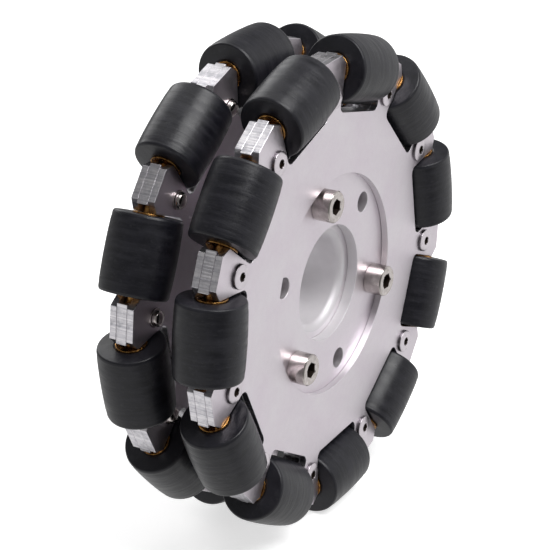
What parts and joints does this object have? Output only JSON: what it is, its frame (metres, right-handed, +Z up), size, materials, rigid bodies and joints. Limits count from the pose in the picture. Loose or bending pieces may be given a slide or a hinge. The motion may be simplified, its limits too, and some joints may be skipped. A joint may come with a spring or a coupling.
{
  "type": "double-row omni wheel",
  "caption": "Aluminium omni wheel with two staggered rows of free-turning rubber rollers on a bolted hub.",
  "frame": {"origin": "centre of the wheel: on the wheel axis, half-way between the two rows of rollers", "axes": "+Y along the wheel axis, from the front face with the cap-screw heads towards the rear face; +Z up; the front face looks towards -Y"},
  "size_m": [0.203, 0.0622, 0.202],
  "materials": {
    "aluminium": "satin, finely brushed",
    "rubber": "matte moulded rubber",
    "steel": "bright nickel plate",
    "brass": "turned brass"
  },
  "bodies": {
    "wheel_frame": {"front_outer_plate": "aluminium", "front_core_plate": "aluminium", "front_inner_plate": "aluminium", "rear_inner_plate": "aluminium", "rear_core_plate": "aluminium", "rear_outer_plate": "aluminium", "hub_spacer": "aluminium", "cap_screw_1": "steel", "cap_screw_2": "steel", "cap_screw_3": "steel", "hub_nut_1": "steel", "hub_nut_2": "steel", "hub_nut_3": "steel", "front_axle_pin_01": "steel", "front_axle_pin_02": "steel", "front_axle_pin_03": "steel", "front_axle_pin_04": "steel", "front_axle_pin_05": "steel", "front_axle_pin_06": "steel", "front_axle_pin_07": "steel", "front_axle_pin_08": "steel", "front_axle_pin_09": "steel", "front_axle_pin_10": "steel", "front_axle_pin_11": "steel", "rear_axle_pin_01": "steel", "rear_axle_pin_02": "steel", "rear_axle_pin_03": "steel", "rear_axle_pin_04": "steel", "rear_axle_pin_05": "steel", "rear_axle_pin_06": "steel", "rear_axle_pin_07": "steel", "rear_axle_pin_08": "steel", "rear_axle_pin_09": "steel", "rear_axle_pin_10": "steel", "rear_axle_pin_11": "steel"},
    "front_roller_body_01": {"front_roller_01": "rubber"},
    "front_roller_body_02": {"front_roller_02": "rubber"},
    "front_roller_body_03": {"front_roller_03": "rubber"},
    "front_roller_body_04": {"front_roller_04": "rubber"},
    "front_roller_body_05": {"front_roller_05": "rubber"},
    "front_roller_body_06": {"front_roller_06": "rubber"},
    "front_roller_body_07": {"front_roller_07": "rubber"},
    "front_roller_body_08": {"front_roller_08": "rubber"},
    "front_roller_body_09": {"front_roller_09": "rubber"},
    "front_roller_body_10": {"front_roller_10": "rubber"},
    "front_roller_body_11": {"front_roller_11": "rubber"},
    "rear_roller_body_01": {"rear_roller_01": "rubber"},
    "rear_roller_body_02": {"rear_roller_02": "rubber"},
    "rear_roller_body_03": {"rear_roller_03": "rubber"},
    "rear_roller_body_04": {"rear_roller_04": "rubber"},
    "rear_roller_body_05": {"rear_roller_05": "rubber"},
    "rear_roller_body_06": {"rear_roller_06": "rubber"},
    "rear_roller_body_07": {"rear_roller_07": "rubber"},
    "rear_roller_body_08": {"rear_roller_08": "rubber"},
    "rear_roller_body_09": {"rear_roller_09": "rubber"},
    "rear_roller_body_10": {"rear_roller_10": "rubber"},
    "rear_roller_body_11": {"rear_roller_11": "rubber"}
  },
  "joints": [
    {"name": "front_roller_spin_01", "type": "hinge", "parent": "wheel_frame", "child": "front_roller_body_01", "pos_m": [-0.04428, -0.017, -0.07477], "axis": [0.8604, 0, -0.5096], "continuous": true},
    {"name": "front_roller_spin_02", "type": "hinge", "parent": "wheel_frame", "child": "front_roller_body_02", "pos_m": [0.00317, -0.017, -0.08684], "axis": [0.9993, 0, 0.0365], "continuous": true},
    {"name": "front_roller_spin_03", "type": "hinge", "parent": "wheel_frame", "child": "front_roller_body_03", "pos_m": [0.04962, -0.017, -0.07134], "axis": [0.821, 0, 0.571], "continuous": true},
    {"name": "front_roller_spin_04", "type": "hinge", "parent": "wheel_frame", "child": "front_roller_body_04", "pos_m": [0.08031, -0.017, -0.03319], "axis": [0.382, 0, 0.9242], "continuous": true},
    {"name": "front_roller_spin_05", "type": "hinge", "parent": "wheel_frame", "child": "front_roller_body_05", "pos_m": [0.08551, -0.017, 0.0155], "axis": [-0.1783, 0, 0.984], "continuous": true},
    {"name": "front_roller_spin_06", "type": "hinge", "parent": "wheel_frame", "child": "front_roller_body_06", "pos_m": [0.06355, -0.017, 0.05927], "axis": [-0.682, 0, 0.7314], "continuous": true},
    {"name": "front_roller_spin_07", "type": "hinge", "parent": "wheel_frame", "child": "front_roller_body_07", "pos_m": [0.02142, -0.017, 0.08422], "axis": [-0.9691, 0, 0.2465], "continuous": true},
    {"name": "front_roller_spin_08", "type": "hinge", "parent": "wheel_frame", "child": "front_roller_body_08", "pos_m": [-0.02751, -0.017, 0.08243], "axis": [-0.9486, 0, -0.3166], "continuous": true},
    {"name": "front_roller_spin_09", "type": "hinge", "parent": "wheel_frame", "child": "front_roller_body_09", "pos_m": [-0.06771, -0.017, 0.05447], "axis": [-0.6269, 0, -0.7791], "continuous": true},
    {"name": "front_roller_spin_10", "type": "hinge", "parent": "wheel_frame", "child": "front_roller_body_10", "pos_m": [-0.08641, -0.017, 0.00922], "axis": [-0.1061, 0, -0.9944], "continuous": true},
    {"name": "front_roller_spin_11", "type": "hinge", "parent": "wheel_frame", "child": "front_roller_body_11", "pos_m": [-0.07768, -0.017, -0.03896], "axis": [0.4483, 0, -0.8939], "continuous": true},
    {"name": "rear_roller_spin_01", "type": "hinge", "parent": "wheel_frame", "child": "rear_roller_body_01", "pos_m": [0.04428, 0.017, 0.07477], "axis": [-0.8604, 0, 0.5096], "continuous": true},
    {"name": "rear_roller_spin_02", "type": "hinge", "parent": "wheel_frame", "child": "rear_roller_body_02", "pos_m": [-0.00317, 0.017, 0.08684], "axis": [-0.9993, 0, -0.0365], "continuous": true},
    {"name": "rear_roller_spin_03", "type": "hinge", "parent": "wheel_frame", "child": "rear_roller_body_03", "pos_m": [-0.04962, 0.017, 0.07134], "axis": [-0.821, 0, -0.571], "continuous": true},
    {"name": "rear_roller_spin_04", "type": "hinge", "parent": "wheel_frame", "child": "rear_roller_body_04", "pos_m": [-0.08031, 0.017, 0.03319], "axis": [-0.382, 0, -0.9242], "continuous": true},
    {"name": "rear_roller_spin_05", "type": "hinge", "parent": "wheel_frame", "child": "rear_roller_body_05", "pos_m": [-0.08551, 0.017, -0.0155], "axis": [0.1783, 0, -0.984], "continuous": true},
    {"name": "rear_roller_spin_06", "type": "hinge", "parent": "wheel_frame", "child": "rear_roller_body_06", "pos_m": [-0.06355, 0.017, -0.05927], "axis": [0.682, 0, -0.7314], "continuous": true},
    {"name": "rear_roller_spin_07", "type": "hinge", "parent": "wheel_frame", "child": "rear_roller_body_07", "pos_m": [-0.02142, 0.017, -0.08422], "axis": [0.9691, 0, -0.2465], "continuous": true},
    {"name": "rear_roller_spin_08", "type": "hinge", "parent": "wheel_frame", "child": "rear_roller_body_08", "pos_m": [0.02751, 0.017, -0.08243], "axis": [0.9486, 0, 0.3166], "continuous": true},
    {"name": "rear_roller_spin_09", "type": "hinge", "parent": "wheel_frame", "child": "rear_roller_body_09", "pos_m": [0.06771, 0.017, -0.05447], "axis": [0.6269, 0, 0.7791], "continuous": true},
    {"name": "rear_roller_spin_10", "type": "hinge", "parent": "wheel_frame", "child": "rear_roller_body_10", "pos_m": [0.08641, 0.017, -0.00922], "axis": [0.1061, 0, 0.9944], "continuous": true},
    {"name": "rear_roller_spin_11", "type": "hinge", "parent": "wheel_frame", "child": "rear_roller_body_11", "pos_m": [0.07768, 0.017, 0.03896], "axis": [-0.4483, 0, 0.8939], "continuous": true}
  ]
}
